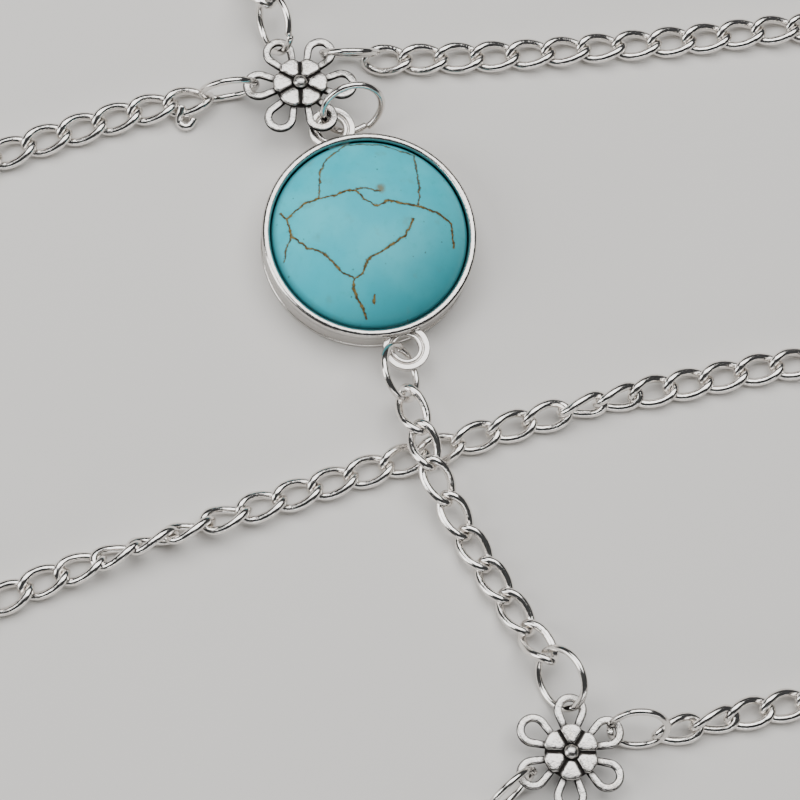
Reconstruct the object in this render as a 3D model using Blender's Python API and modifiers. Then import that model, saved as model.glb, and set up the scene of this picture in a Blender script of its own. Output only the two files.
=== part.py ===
"""Thigh chain in silver-plated metal, lying on a flat surface.

A round cup with a turquoise-coloured cabochon hangs between two flower
connectors. Three strands of curb chain leave the front at three heights,
run round as whole loops and meet at one clasp at the back. A short riser
goes up from the upper flower and ends in a clasp of its own.

Metres, +Z up. The origin is the centre of the cup's flat back, on the
surface. +Y points up the wearer's leg and +X along the strands.
"""

import math

import bmesh
import bpy
from mathutils import Matrix, Vector

MM = 0.001

# Clearances
FIT_GAP = 0.3 * MM
STONE_GAP = 0.4 * MM
LIFT = 0.02 * MM

# Cabochon
STONE_RADIUS = 10.0 * MM
STONE_GIRDLE = 2.1 * MM
STONE_DOME = 3.8 * MM

# Cup
CUP_WALL = 0.6 * MM
CUP_FLOOR = 0.8 * MM
CUP_HEIGHT = 4.1 * MM
CUP_EDGE = 0.15 * MM
CUP_SIDES = 56

# Ears of the cup
EAR_HOLE = 1.25 * MM
EAR_BAND = 1.15 * MM
EAR_THICK = 0.8 * MM
EAR_DROP = 1.1 * MM
EAR_STEP = 0.12 * MM
EAR_SIDES = 20

# Flower connectors
FLOWER_RADIUS = 5.87 * MM
LOOP_RADIUS = 1.24 * MM
LOOP_BAND = 0.74 * MM
LOOP_THICK = 0.6 * MM
HUB_RADIUS = 2.55 * MM
HUB_THICK = 0.8 * MM
PETAL_REACH = 2.8 * MM
PETAL_RISE = 0.35 * MM
PETAL_GROOVE = 0.34 * MM
BEAD_RADIUS = 0.68 * MM
LOOP_COUNT = 6

# Jump rings
RING_RADIUS = 2.83 * MM
WIDE_RING_RADIUS = 3.1 * MM
WIDE_RINGS = ("pendant_ring", "riser_ring", "drop_ring")
RING_WIRE = 0.375 * MM
RING_SIDES = 16
RING_WIRE_SIDES = 6

# Curb chain
LINK_WIRE = 0.425 * MM
LINK_HALF_WIDTH = 1.27 * MM
LINK_TWIST = math.radians(-45)
LINK_SIDES = 10
LINK_BITE = 0.2 * MM
HOOK_GAP = 0.4 * MM
STRAND_RADIUS = 1.2 * MM
STRAND_STEP = 6.6 * MM

# Clasps
CLASP_EYE = 1.35 * MM
CLASP_BAND = 0.8 * MM
CLASP_THICK = 0.9 * MM
CLASP_ROUND = 0.18 * MM
CLASP_HOLE = 1.9 * MM
CLASP_LENGTH = 12.0 * MM
CLASP_CLEAR = 0.23 * MM

# Where the upper flower's pendant loop lies from the top ear, and the lower
# flower's top loop from the bottom ear
UPPER_HOLE = (-0.79 * MM, 1.18 * MM, 1.25 * MM)
UPPER_TURN = math.radians(-16.5)
UPPER_TILT = math.radians(6)
UPPER_TILT_TOWARDS = math.radians(283.5)
LOWER_HOLE = (3.88 * MM, -39.99 * MM, -0.2 * MM)
LOWER_TURN = math.radians(11)

# Jump rings: the hole that each one passes through, how far its wire lies
# from the middle of that hole in millimetres, the direction to its own centre
# and its roll about that direction, in degrees
RING_TABLE = {
    # name: (hole, dx, dy, dz, azimuth, elevation, roll)
    "pendant_ring": ("top_ear", 0.04, 0.28, -0.13, 17.6, 35.8, 144.7),
    "riser_ring": ("upper_2", 0.25, 0.09, -0.06, 86.5, 20.4, 19.2),
    "top_left_ring": ("upper_3", -0.26, 0.10, 0.02, 171.7, 0.5, -4.7),
    "top_right_ring": ("upper_1", 0.21, -0.16, 0.01, -19.0, 10.9, 19.0),
    "ear_ring": ("bottom_ear", -0.32, -0.18, -0.08, -117.9, 21.3, 42.9),
    "drop_ring": ("lower_1", 0.07, 0.14, -0.02, 90.2, 12.4, -148.1),
    "lower_right_ring": ("lower_0", 0.32, 0.06, -0.02, -14.0, 11.3, -25.8),
    "lower_left_ring": ("lower_3", -0.17, -0.04, 0.03, -159.7, 15.3, 10.5),
    "left_end_ring": ("back_eye", 0.0, 0.0, 0.0, 150.0, 38.8, 0.0),
    "right_end_ring": ("back_jaw", 0.0, 0.0, 0.0, 30.0, 38.8, 0.0),
    "riser_end_ring": ("riser_eye", 0.0, 0.0, 0.0, -92.0, 38.8, 0.0),
}

# Where a short chain hangs on a ring: azimuth and elevation from its centre
HOOKS = {
    "ear_ring": (-90.0, -10.0),
    "drop_ring": (98.7, -8.6),
    "riser_ring": (90.7, 0.2),
    "riser_end_ring": (-92.0, -15.0),
}

# Routes chosen by eye, in millimetres. For the two short chains: how far each
# joint between two links lies off the straight line between their rings. For
# the strands: the line that each takes over the surface.
ROUTES = {
    "drop_chain": [
        (-0.42, -0.25, 0.49), (-1.28, -0.32, 0.60), (-1.15, -0.22, -0.70), (-1.05, -0.12, -1.70),
        (-0.80, -0.02, -1.80), (-0.52, 0.06, -1.75), (-0.17, 0.05, -1.50),
    ],
    "riser_chain": [(0.33, 0.10, -0.85), (0.60, -0.05, -1.65)],
    "top_left_strand": [
        (-17.1, 20.3), (-22.4, 20.2), (-27.9, 20.0), (-33.3, 19.6), (-46, 17.5),
        (-60, 11.5), (-74, 1), (-86, -13), (-95, -31), (-100, -50), (-101.5, -70), (-99, -91),
        (-92, -112), (-80, -132), (-65, -150), (-48, -166), (-28, -176.8),
    ],
    "top_right_strand": [
        (15.7, 16.7), (21.9, 15.3), (30.3, 13.7), (41.0, 11.7), (51.8, 9.9), (65, 5.5),
        (78, -3), (89, -15.5), (97, -31.5), (101.5, -50), (102.5, -70), (100, -91), (93, -112),
        (81, -132), (65.5, -150), (48, -166), (27.5, -176.8),
    ],
    "middle_left_strand": [
        (-1.85, -23.0), (-11.5, -23.1), (-23.8, -23.6), (-34.8, -24.0), (-46.3, -25.0), (-60, -28.8),
        (-71.5, -37.5), (-79, -52), (-82, -70), (-80, -89), (-74, -108), (-64.5, -126), (-52, -142),
        (-36, -156.5), (-20.5, -169.8),
    ],
    "middle_right_strand": [
        (-1.55, -23.0), (8.8, -22.9), (19.6, -23.3), (28.1, -23.9), (38.8, -25.0), (53, -28.5),
        (66, -35.5), (75.5, -47), (80.5, -62), (81, -80), (77, -98), (69, -116.5), (57.5, -134),
        (42.5, -151), (20.5, -169.8),
    ],
    "lower_left_strand": [
        (-16, -62.2), (-26, -65.2), (-37, -70), (-46.5, -77.5), (-53, -88),
        (-55.5, -100.5), (-53.5, -114), (-46.5, -128), (-35.5, -142), (-22.5, -155.5), (-13.0, -167),
    ],
    "lower_right_strand": [
        (21.3, -57.8), (28, -58.5), (38, -61), (47.5, -66.5), (54.5, -75), (58.5, -86.5),
        (59, -99.5), (55.5, -113.5), (48, -128), (37, -142), (23.5, -155.5), (13.0, -167),
    ],
}
BACK_CLASP_AT = (-3.9 * MM, -184.0 * MM)
RISER_CLASP_OFF = (-0.25 * MM, 20.7 * MM)

# How far from the front rings' wires the strands start
LEAVE = {
    "top_left_strand": ("top_left_ring", 0.65 * MM),
    "top_right_strand": ("top_right_ring", 1.15 * MM),
    "lower_left_strand": ("lower_left_ring", 1.35 * MM),
    "lower_right_strand": ("lower_right_ring", 1.3 * MM),
}

# How the strands fan out from the end rings: degrees, and how far off they stop
FAN = {
    "top": (170, 4.9 * MM),
    "middle": (135, 1.4 * MM),
    "lower": (100, 4.9 * MM),
}

# Sizes that follow from the ones above
CUP_RADIUS = STONE_RADIUS + STONE_GAP + CUP_WALL
EAR_RADIUS = EAR_HOLE + EAR_BAND
EAR_REACH = CUP_RADIUS + EAR_HOLE + LIFT * 2
EAR_TOP = CUP_HEIGHT - EAR_DROP
LOOP_REACH = FLOWER_RADIUS - LOOP_BAND / 2 - LOOP_RADIUS
HANG_TWIST = LINK_TWIST * 2 / 3
CHAIN_REST = LINK_WIRE + LINK_HALF_WIDTH * 0.37 + LIFT * 2
CLASP_EYE_RADIUS = CLASP_EYE + CLASP_BAND
CLASP_REST = LIFT + RING_WIRE * 2 + CLASP_CLEAR + CLASP_THICK / 2
CLASP_TIP = CLASP_LENGTH - CLASP_EYE_RADIUS
CLASP_LEAN = math.asin((CLASP_REST - LIFT - CLASP_THICK / 2) / CLASP_TIP)

SILVER = (0.72, 0.70, 0.67, 1.0)
TURQUOISE = (0.10, 0.42, 0.45, 1.0)


def clear_scene():
    for obj in list(bpy.data.objects):
        bpy.data.objects.remove(obj)


def new_collection(name):
    group = bpy.data.collections.new(name)
    bpy.context.scene.collection.children.link(group)
    return group


def new_material(name, color, metallic, roughness):
    material = bpy.data.materials.new(name)
    material.use_nodes = True
    shader = material.node_tree.nodes["Principled BSDF"]
    shader.inputs["Base Color"].default_value = color
    shader.inputs["Metallic"].default_value = metallic
    shader.inputs["Roughness"].default_value = roughness
    return material


def add_object(name, data, group, material=None):
    obj = bpy.data.objects.new(name, data)
    group.objects.link(obj)
    if material:
        data.materials.clear()
        data.materials.append(material)
    return obj


def hide(obj):
    obj.hide_render = True
    obj.display_type = "WIRE"


def evaluated_mesh(obj):
    """The object's shape with its modifiers and transform applied, caps welded."""
    bpy.context.view_layer.update()
    graph = bpy.context.evaluated_depsgraph_get()
    mesh = bpy.data.meshes.new_from_object(obj.evaluated_get(graph))
    mesh.transform(obj.matrix_world)
    shape = bmesh.new()
    shape.from_mesh(mesh)
    bmesh.ops.remove_doubles(shape, verts=shape.verts, dist=0.001 * MM)
    bmesh.ops.recalc_face_normals(shape, faces=shape.faces)
    shape.to_mesh(mesh)
    shape.free()
    return mesh


def bake(obj, group, material=None):
    """Replaces a curve or a modified helper by the plain mesh of its shape."""
    name = obj.name
    mesh = evaluated_mesh(obj)
    bpy.data.objects.remove(obj)
    mesh.name = name
    return add_object(name, mesh, group, material)


def turned(name, profile, steps, group, closed=False):
    """A solid of revolution about Z. The profile's points (radius, height) run down its outer side."""
    edges = [(i, i + 1) for i in range(len(profile) - 1)]
    if closed:
        edges.append((len(profile) - 1, 0))
    mesh = bpy.data.meshes.new(name)
    mesh.from_pydata([(r, 0, z) for r, z in profile], edges, [])
    obj = add_object(name, mesh, group)
    screw = obj.modifiers.new("Turn", "SCREW")
    screw.steps = screw.render_steps = steps
    screw.use_merge_vertices = True
    screw.merge_threshold = 0.00001
    screw.use_smooth_shade = False
    return obj


def flat_piece(name, outlines, thickness, base, group, rounding=0.0):
    """A plate of the given closed outlines, the first one outside and the others holes in it."""
    curve = bpy.data.curves.new(name, "CURVE")
    curve.dimensions = "2D"
    curve.fill_mode = "BOTH"
    curve.extrude = thickness / 2 - rounding
    curve.bevel_depth = rounding
    curve.bevel_resolution = 1
    curve.offset = -rounding
    for points in outlines:
        spline = curve.splines.new("POLY")
        spline.points.add(len(points) - 1)
        for target, (x, y) in zip(spline.points, points):
            target.co = (x, y, 0, 1)
        spline.use_cyclic_u = True
    obj = add_object(name, curve, group)
    obj.location.z = base + thickness / 2
    return obj


def join(name, pieces, group, helpers, material):
    """One body of several overlapping pieces."""
    first, rest = pieces[0], pieces[1:]
    operands = bpy.data.collections.new(name + "_pieces")
    helpers.children.link(operands)
    for piece in rest:
        for holder in list(piece.users_collection):
            holder.objects.unlink(piece)
        operands.objects.link(piece)
        hide(piece)
    union = first.modifiers.new("Join", "BOOLEAN")
    union.operation = "UNION"
    union.operand_type = "COLLECTION"
    union.collection = operands
    union.solver = "EXACT"
    mesh = evaluated_mesh(first)
    for piece in pieces:
        bpy.data.objects.remove(piece)
    return add_object(name, mesh, group, material)


def arc(centre, radius, start, end, count):
    """Points on a circle from one angle to another, both ends included."""
    step = (end - start) / (count - 1)
    return [
        (centre[0] + radius * math.cos(start + i * step), centre[1] + radius * math.sin(start + i * step))
        for i in range(count)
    ]


def smooth_route(points, step):
    """Points a fixed distance apart on a smooth curve through the given ones."""
    route = [Vector(p) for p in points]
    padded = [route[0] * 2 - route[1], *route, route[-1] * 2 - route[-2]]
    fine = []
    for a, b, c, d in zip(padded, padded[1:], padded[2:], padded[3:]):
        for i in range(20):
            t = i / 20
            fine.append(
                0.5 * (2 * b + (c - a) * t + (2 * a - 5 * b + 4 * c - d) * t**2 + (3 * b - a - 3 * c + d) * t**3)
            )
    fine.append(route[-1])
    along = [0.0]
    for p, q in zip(fine, fine[1:]):
        along.append(along[-1] + (q - p).length)
    count = max(2, round(along[-1] / step)) + 1
    result = []
    for i in range(count):
        want = along[-1] * i / (count - 1)
        k = max(j for j in range(len(along)) if along[j] <= want + 1e-12)
        k = min(k, len(fine) - 2)
        share = (want - along[k]) / (along[k + 1] - along[k])
        result.append(fine[k].lerp(fine[k + 1], min(1.0, share)))
    return result


def stone_profile():
    """Down the cabochon's dome and round its girdle to its flat base."""
    base = CUP_FLOOR + FIT_GAP
    top_of_girdle = base + STONE_GIRDLE
    dome = [
        (STONE_RADIUS * math.sin(a), top_of_girdle + STONE_DOME * math.cos(a))
        for a in (math.radians(90) * i / 8 for i in range(9))
    ]
    dome[0] = (0, top_of_girdle + STONE_DOME)
    return dome + [(STONE_RADIUS, base + CUP_EDGE), (STONE_RADIUS - CUP_EDGE, base), (0, base)]


def ear_profile():
    """Round the section of a cast ring: a flat outer band, a step down and a low inner ridge."""
    bottom = EAR_TOP - EAR_THICK
    band = EAR_BAND * 0.6
    return [
        (EAR_RADIUS - CUP_EDGE, EAR_TOP),
        (EAR_RADIUS, EAR_TOP - CUP_EDGE),
        (EAR_RADIUS, bottom + CUP_EDGE),
        (EAR_RADIUS - CUP_EDGE, bottom),
        (EAR_HOLE, bottom),
        (EAR_HOLE, EAR_TOP - EAR_STEP * 2),
        (EAR_HOLE + EAR_STEP, EAR_TOP - EAR_STEP),
        (EAR_RADIUS - band - EAR_STEP, EAR_TOP - EAR_STEP),
        (EAR_RADIUS - band, EAR_TOP),
    ]


def make_cup(group, helpers, material):
    """The cast cup and its two ears, one body, hollowed for the stone."""
    outer = [
        (0, CUP_HEIGHT),
        (CUP_RADIUS - CUP_EDGE, CUP_HEIGHT),
        (CUP_RADIUS, CUP_HEIGHT - CUP_EDGE),
        (CUP_RADIUS, CUP_EDGE),
        (CUP_RADIUS - CUP_EDGE, 0),
        (0, 0),
    ]
    inner = CUP_RADIUS - CUP_WALL
    hollow = [
        (0, CUP_HEIGHT + FIT_GAP),
        (inner + CUP_EDGE + FIT_GAP, CUP_HEIGHT + FIT_GAP),
        (inner, CUP_HEIGHT - CUP_EDGE),
        (inner, CUP_FLOOR),
        (0, CUP_FLOOR),
    ]
    cup = bake(turned("bezel_cup", outer, CUP_SIDES, group), group, material)
    cutter = bake(turned("cup_hollow", hollow, CUP_SIDES, helpers), helpers)
    operands = []
    for sign in (1, -1):
        ear = turned("ear", ear_profile(), EAR_SIDES, helpers, closed=True)
        ear.location.y = sign * EAR_REACH
        operands.append(bake(ear, helpers))
    for tool, operation in [(ear, "UNION") for ear in operands] + [(cutter, "DIFFERENCE")]:
        hide(tool)
        cut = cup.modifiers.new("Cut", "BOOLEAN")
        cut.operation = operation
        cut.object = tool
        cut.solver = "EXACT"
    return cup


def loop_outline(half, count, mouth):
    """A teardrop about the flower's ray: straight sides that leave the hub and a round end."""
    side = math.radians(112)
    radius = LOOP_RADIUS + half
    round_end = arc((LOOP_REACH, 0), radius, side, -side, count)
    return [(mouth[0], mouth[1]), *round_end, (mouth[0], -mouth[1])]


def petal_outline():
    """A wedge with a rounded outer edge, half a groove in from the rays beside it."""
    half = math.pi / LOOP_COUNT
    inner = BEAD_RADIUS + PETAL_GROOVE
    inset_in = half - math.asin(PETAL_GROOVE / 2 / inner)
    inset_out = half - math.asin(PETAL_GROOVE / 2 / (PETAL_REACH * 0.86))
    shoulder = PETAL_REACH * 0.86
    points = [(inner * math.cos(-inset_in), inner * math.sin(-inset_in))]
    points.append((shoulder * math.cos(-inset_out), shoulder * math.sin(-inset_out)))
    for a in (-0.55, 0.0, 0.55):
        points.append((PETAL_REACH * math.cos(a * half), PETAL_REACH * math.sin(a * half)))
    points.append((shoulder * math.cos(inset_out), shoulder * math.sin(inset_out)))
    points.append((inner * math.cos(inset_in), inner * math.sin(inset_in)))
    return points


def make_flower_mesh(group, helpers, material):
    """The cast flower, its bands' middle height at z = 0."""
    base = -LOOP_THICK / 2
    pieces = []
    bpy.ops.mesh.primitive_cylinder_add(
        vertices=24, radius=HUB_RADIUS, depth=HUB_THICK, location=(0, 0, base + HUB_THICK / 2)
    )
    hub = bpy.context.object
    hub.name = "hub"
    pieces.append(hub)
    bpy.ops.mesh.primitive_uv_sphere_add(
        segments=12, ring_count=8, radius=BEAD_RADIUS, location=(0, 0, base + HUB_THICK + BEAD_RADIUS * 0.25)
    )
    pieces.append(bpy.context.object)
    rise = HUB_THICK / 2 + PETAL_RISE
    for i in range(LOOP_COUNT):
        turn = Matrix.Rotation(2 * math.pi * i / LOOP_COUNT, 4, "Z")
        outlines = [
            loop_outline(LOOP_BAND / 2, 11, (HUB_RADIUS * 0.7, LOOP_BAND * 0.95)),
            loop_outline(-LOOP_BAND / 2, 9, (HUB_RADIUS * 0.98, LOOP_BAND * 0.12)),
        ]
        band = flat_piece("band", outlines, LOOP_THICK, base, helpers)
        petal = flat_piece("petal", [petal_outline()], rise, base + HUB_THICK / 2, helpers)
        for piece in (band, petal):
            piece.matrix_world = turn @ Matrix.Translation((0, 0, piece.location.z))
            pieces.append(bake(piece, helpers))
    flower = join("flower", pieces, group, helpers, material)
    mesh = flower.data
    bpy.data.objects.remove(flower)
    return mesh


def flower_matrix(hole, turn, index, tilt=0.0, towards=0.0):
    """The pose that puts the middle of one loop's hole at the given point."""
    lean = Matrix.Rotation(tilt, 4, Vector((math.sin(towards), -math.cos(towards), 0)))
    frame = lean @ Matrix.Rotation(turn, 4, "Z")
    ray = 2 * math.pi * index / LOOP_COUNT
    reach = frame @ Vector((LOOP_REACH * math.cos(ray), LOOP_REACH * math.sin(ray), 0))
    return Matrix.Translation(Vector(hole) - reach) @ frame


def loop_hole(matrix, index):
    ray = 2 * math.pi * index / LOOP_COUNT
    return matrix @ Vector((LOOP_REACH * math.cos(ray), LOOP_REACH * math.sin(ray), 0))


def direction(azimuth, elevation):
    a, e = math.radians(azimuth), math.radians(elevation)
    return Vector((math.cos(a) * math.cos(e), math.sin(a) * math.cos(e), math.sin(e)))


def ring_radius(name):
    return WIDE_RING_RADIUS if name in WIDE_RINGS else RING_RADIUS


def ring_matrix(hole, row, radius):
    """A ring whose wire passes through the hole, from a row of the ring table."""
    _, dx, dy, dz, azimuth, elevation, roll = row
    towards = direction(azimuth, elevation)
    level = Vector((0, 0, 1)).cross(towards).normalized()
    upright = towards.cross(level)
    spin = math.radians(roll)
    normal = level * math.cos(spin) + upright * math.sin(spin)
    centre = hole + Vector((dx, dy, dz)) * MM + towards * radius
    third = normal.cross(towards)
    turn = Matrix((towards, third, normal)).transposed().to_4x4()
    return Matrix.Translation(centre) @ turn


def make_ring_mesh(radius, material):
    bpy.ops.mesh.primitive_torus_add(
        major_segments=RING_SIDES,
        minor_segments=RING_WIRE_SIDES,
        major_radius=radius,
        minor_radius=RING_WIRE,
    )
    ring = bpy.context.object
    mesh = ring.data
    bpy.data.objects.remove(ring)
    mesh.materials.clear()
    mesh.materials.append(material)
    return mesh


def link_points(start, end, roll):
    """The twisted oval that a curb link's wire follows between two joints of the chain."""
    along = end - start
    half = (along.length + LINK_WIRE * 2 - LINK_BITE) / 2
    along.normalize()
    level = Vector((0, 0, 1)).cross(along).normalized()
    upright = along.cross(level)
    side = level * math.cos(roll) + upright * math.sin(roll)
    over = upright * math.cos(roll) - level * math.sin(roll)
    middle = (start + end) / 2
    points = []
    for i in range(LINK_SIDES):
        t = 2 * math.pi * (i + 0.5) / LINK_SIDES
        twist = LINK_TWIST * math.cos(t)
        width = LINK_HALF_WIDTH * math.sin(t)
        points.append(
            middle + along * half * math.cos(t) + side * width * math.cos(twist) + over * width * math.sin(twist)
        )
    return points


def make_chain(name, joints, rolls, group, helpers, material):
    """A run of interlocked curb links between the joints, fused where they touch."""
    links = []
    for start, end, roll in zip(joints, joints[1:], rolls):
        curve = bpy.data.curves.new("link", "CURVE")
        curve.dimensions = "3D"
        curve.bevel_depth = LINK_WIRE
        curve.bevel_resolution = 1
        spline = curve.splines.new("POLY")
        points = link_points(start, end, roll)
        spline.points.add(len(points) - 1)
        for target, point in zip(spline.points, points):
            target.co = (*point, 1)
        spline.use_cyclic_u = True
        links.append(bake(add_object("link", curve, helpers), helpers))
    return join(name, links, group, helpers, material)


def ring_side(pose, radius, azimuth, elevation):
    """The point of a ring's wire that lies furthest in a direction."""
    local = pose.to_3x3().inverted() @ direction(azimuth, elevation)
    local.z = 0
    return pose @ (local.normalized() * radius)


def hang_roll(along, pose, hook, end_twist):
    """The roll that lays a link's end bar square across the ring's wire."""
    level = Vector((0, 0, 1)).cross(along).normalized()
    upright = along.cross(level).normalized()
    wire = pose.col[2].to_3d().cross(hook - pose.translation)
    across = math.atan2(wire.dot(upright), wire.dot(level)) + math.pi / 2 - end_twist
    return (across + math.pi / 2) % math.pi - math.pi / 2


def hang(offsets, start, end):
    """The joints of a short chain between two rings' wires, no lower than it rests."""
    reach = RING_WIRE + HOOK_GAP + LINK_BITE / 2
    along = (end - start).normalized()
    first = start - along * reach
    last = end + along * reach
    joints = []
    for k, off in enumerate(offsets, 1):
        joint = first.lerp(last, k / (len(offsets) + 1)) + Vector(off) * MM
        joint.z = max(joint.z, CHAIN_REST)
        joints.append(joint)
    first = start + (start - joints[0]).normalized() * reach
    last = end + (end - joints[-1]).normalized() * reach
    return [first, *joints, last]


def make_strand(name, points, group, material):
    """The round form of a long curb chain, lying on the surface."""
    curve = bpy.data.curves.new(name, "CURVE")
    curve.dimensions = "3D"
    curve.bevel_depth = STRAND_RADIUS
    curve.bevel_resolution = 2
    curve.use_fill_caps = True
    spline = curve.splines.new("POLY")
    route = smooth_route(points, STRAND_STEP)
    spline.points.add(len(route) - 1)
    for target, point in zip(spline.points, route):
        target.co = (*point, 1)
    return add_object(name, curve, group, material)


def clasp_outlines():
    """The outside of a plain clasp along +X from its eye, the eye's hole and the jaw's opening."""
    band = CLASP_BAND
    jaw = CLASP_HOLE + band
    jaw_at = CLASP_LENGTH - CLASP_EYE_RADIUS - jaw
    waist = CLASP_BAND * 1.1
    outside = arc((0, 0), CLASP_EYE_RADIUS, math.radians(35), math.radians(325), 11)
    outside += [(jaw_at * 0.5, -waist)]
    outside += arc((jaw_at, 0), jaw, math.radians(-120), math.radians(120), 11)
    outside += [(jaw_at * 0.5, waist)]
    eye = arc((0, 0), CLASP_EYE, 0, 2 * math.pi * 11 / 12, 12)
    jaw_back = CLASP_EYE_RADIUS + band + CLASP_HOLE * 0.45
    opening = arc((jaw_at, 0), CLASP_HOLE, math.radians(-110), math.radians(110), 9)
    opening += arc((jaw_back, 0), CLASP_HOLE * 0.45, math.radians(110), math.radians(250), 5)
    return [outside, eye, opening]


def make_clasp_mesh(helpers, material):
    clasp = flat_piece("clasp", clasp_outlines(), CLASP_THICK, -CLASP_THICK / 2, helpers, CLASP_ROUND)
    mesh = evaluated_mesh(clasp)
    bpy.data.objects.remove(clasp)
    mesh.materials.clear()
    mesh.materials.append(material)
    return mesh


def place(name, mesh, matrix, group):
    obj = bpy.data.objects.new(name, mesh)
    group.objects.link(obj)
    obj.matrix_world = matrix
    return obj


def shade(group):
    for obj in group.objects:
        if obj.type == "MESH":
            obj.data.shade_smooth()
            obj.data.set_sharp_from_angle(angle=math.radians(40))


def main():
    clear_scene()
    group = new_collection("thigh_chain")
    helpers = new_collection("cutters")
    silver = new_material("silver_plate", SILVER, 1.0, 0.2)
    turquoise = new_material("turquoise_stone", TURQUOISE, 0.0, 0.25)

    make_cup(group, helpers, silver)
    bake(turned("cabochon", stone_profile(), 44, group), group, turquoise)

    holes = {}
    ear_middle = EAR_TOP - EAR_THICK / 2
    holes["top_ear"] = Vector((0, EAR_REACH, ear_middle))
    holes["bottom_ear"] = Vector((0, -EAR_REACH, ear_middle))

    flower = make_flower_mesh(group, helpers, silver)
    upper = flower_matrix(
        holes["top_ear"] + Vector(UPPER_HOLE), UPPER_TURN, 5, UPPER_TILT, UPPER_TILT_TOWARDS
    )
    lower = flower_matrix(holes["bottom_ear"] + Vector(LOWER_HOLE), LOWER_TURN, 1)
    place("upper_flower", flower, upper, group)
    place("lower_flower", flower, lower, group)
    for i in range(LOOP_COUNT):
        holes[f"upper_{i}"] = loop_hole(upper, i)
        holes[f"lower_{i}"] = loop_hole(lower, i)

    clasp = make_clasp_mesh(helpers, silver)
    back = Matrix.Translation((*BACK_CLASP_AT, CLASP_REST))
    up_leg = Matrix.Rotation(math.radians(88), 4, "Z")
    lean = Matrix.Rotation(CLASP_LEAN, 4, "Y")
    above = holes["upper_2"]
    riser_at = (above.x + RISER_CLASP_OFF[0], above.y + RISER_CLASP_OFF[1], CLASP_REST)
    riser = Matrix.Translation(riser_at) @ up_leg @ lean
    place("back_clasp", clasp, back, group)
    place("riser_clasp", clasp, riser, group)
    inside = CLASP_EYE + LIFT * 5
    holes["back_eye"] = back @ Vector((inside - CLASP_EYE, 0, 0))
    holes["back_jaw"] = back @ Vector((CLASP_TIP - CLASP_BAND - inside, 0, 0))
    holes["riser_eye"] = riser @ Vector((inside - CLASP_EYE, 0, 0))

    poses = {name: ring_matrix(holes[row[0]], row, ring_radius(name)) for name, row in RING_TABLE.items()}
    meshes = {radius: make_ring_mesh(radius, silver) for radius in (RING_RADIUS, WIDE_RING_RADIUS)}
    for name, pose in poses.items():
        place(name, meshes[ring_radius(name)], pose, group)
    hooks = {name: ring_side(poses[name], ring_radius(name), *towards) for name, towards in HOOKS.items()}
    for name, upper_ring, lower_ring in (
        ("drop_chain", "ear_ring", "drop_ring"),
        ("riser_chain", "riser_ring", "riser_end_ring"),
    ):
        joints = hang(ROUTES[name], hooks[upper_ring], hooks[lower_ring])
        rolls = [0.0] * (len(joints) - 1)
        first, last = joints[1] - joints[0], joints[-1] - joints[-2]
        rolls[0] = hang_roll(first, poses[upper_ring], hooks[upper_ring], -HANG_TWIST)
        rolls[-1] = hang_roll(last, poses[lower_ring], hooks[lower_ring], HANG_TWIST)
        make_chain(name, joints, rolls, group, helpers, silver)

    def beside(ring_name, towards, off):
        tip = poses[ring_name] @ Vector((RING_RADIUS, 0, 0))
        away = Vector((towards[0] - tip.x, towards[1] - tip.y)).normalized() * off
        return (tip.x + away.x, tip.y + away.y, STRAND_RADIUS)

    for strand, (angle, fan_off) in FAN.items():
        for side, fan_angle in (("left", angle), ("right", 180 - angle)):
            name = f"{strand}_{side}_strand"
            route = [(x * MM, y * MM, STRAND_RADIUS) for x, y in ROUTES[name]]
            if name in LEAVE:
                ring_name, off = LEAVE[name]
                route.insert(0, beside(ring_name, route[0], off))
            end_ring = f"{side}_end_ring"
            tip = poses[end_ring] @ Vector((RING_RADIUS, 0, 0))
            fan = tip + direction(fan_angle, 0.0)
            route.append(beside(end_ring, fan, fan_off))
            make_strand(name, route, group, silver)
    shade(group)


main()
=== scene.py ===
# %% [markdown]
# # A thigh chain with a turquoise-coloured stone
#
# The object is body jewellery, laid flat: a cabochon in a round cast cup, two
# cast flowers that join everything, jump rings, and curb chain. The frame that
# is loaded first holds the plain solids, each in its real place. Each step
# below dresses one of them with the finer form and finish of the real piece.

import math

import bmesh
import bpy
import numpy as np
from mathutils import Matrix, Vector


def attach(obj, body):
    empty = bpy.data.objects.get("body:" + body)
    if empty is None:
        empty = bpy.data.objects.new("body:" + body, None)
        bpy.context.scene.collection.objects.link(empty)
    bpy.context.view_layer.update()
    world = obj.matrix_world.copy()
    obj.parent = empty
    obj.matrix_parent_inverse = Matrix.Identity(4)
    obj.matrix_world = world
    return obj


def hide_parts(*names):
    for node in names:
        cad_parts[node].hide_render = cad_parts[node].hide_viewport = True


MM = 0.001
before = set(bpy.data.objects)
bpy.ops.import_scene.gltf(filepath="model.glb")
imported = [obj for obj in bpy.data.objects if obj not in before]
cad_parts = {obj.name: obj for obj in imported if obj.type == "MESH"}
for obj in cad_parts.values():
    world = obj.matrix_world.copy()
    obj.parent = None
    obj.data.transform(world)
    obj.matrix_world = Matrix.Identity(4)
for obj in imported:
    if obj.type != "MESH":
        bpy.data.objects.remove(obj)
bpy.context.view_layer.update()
print("solids in the frame:", len(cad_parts))


def add_object(name, data):
    """A new object in the scene that shows the data."""
    made = bpy.data.objects.new(name, data)
    bpy.context.scene.collection.objects.link(made)
    return made


# %% [markdown]
# ## The camera
#
# The photograph was taken from almost straight above, with the camera turned
# a little about its own axis. A camera can be placed by hand and nudged until
# the picture fits. Here it is set by numbers instead: two angles for where it
# stands, one for its roll, a distance and a focal length. Numbers can be
# checked against known points of the object, such as the rim of the cup.

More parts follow.
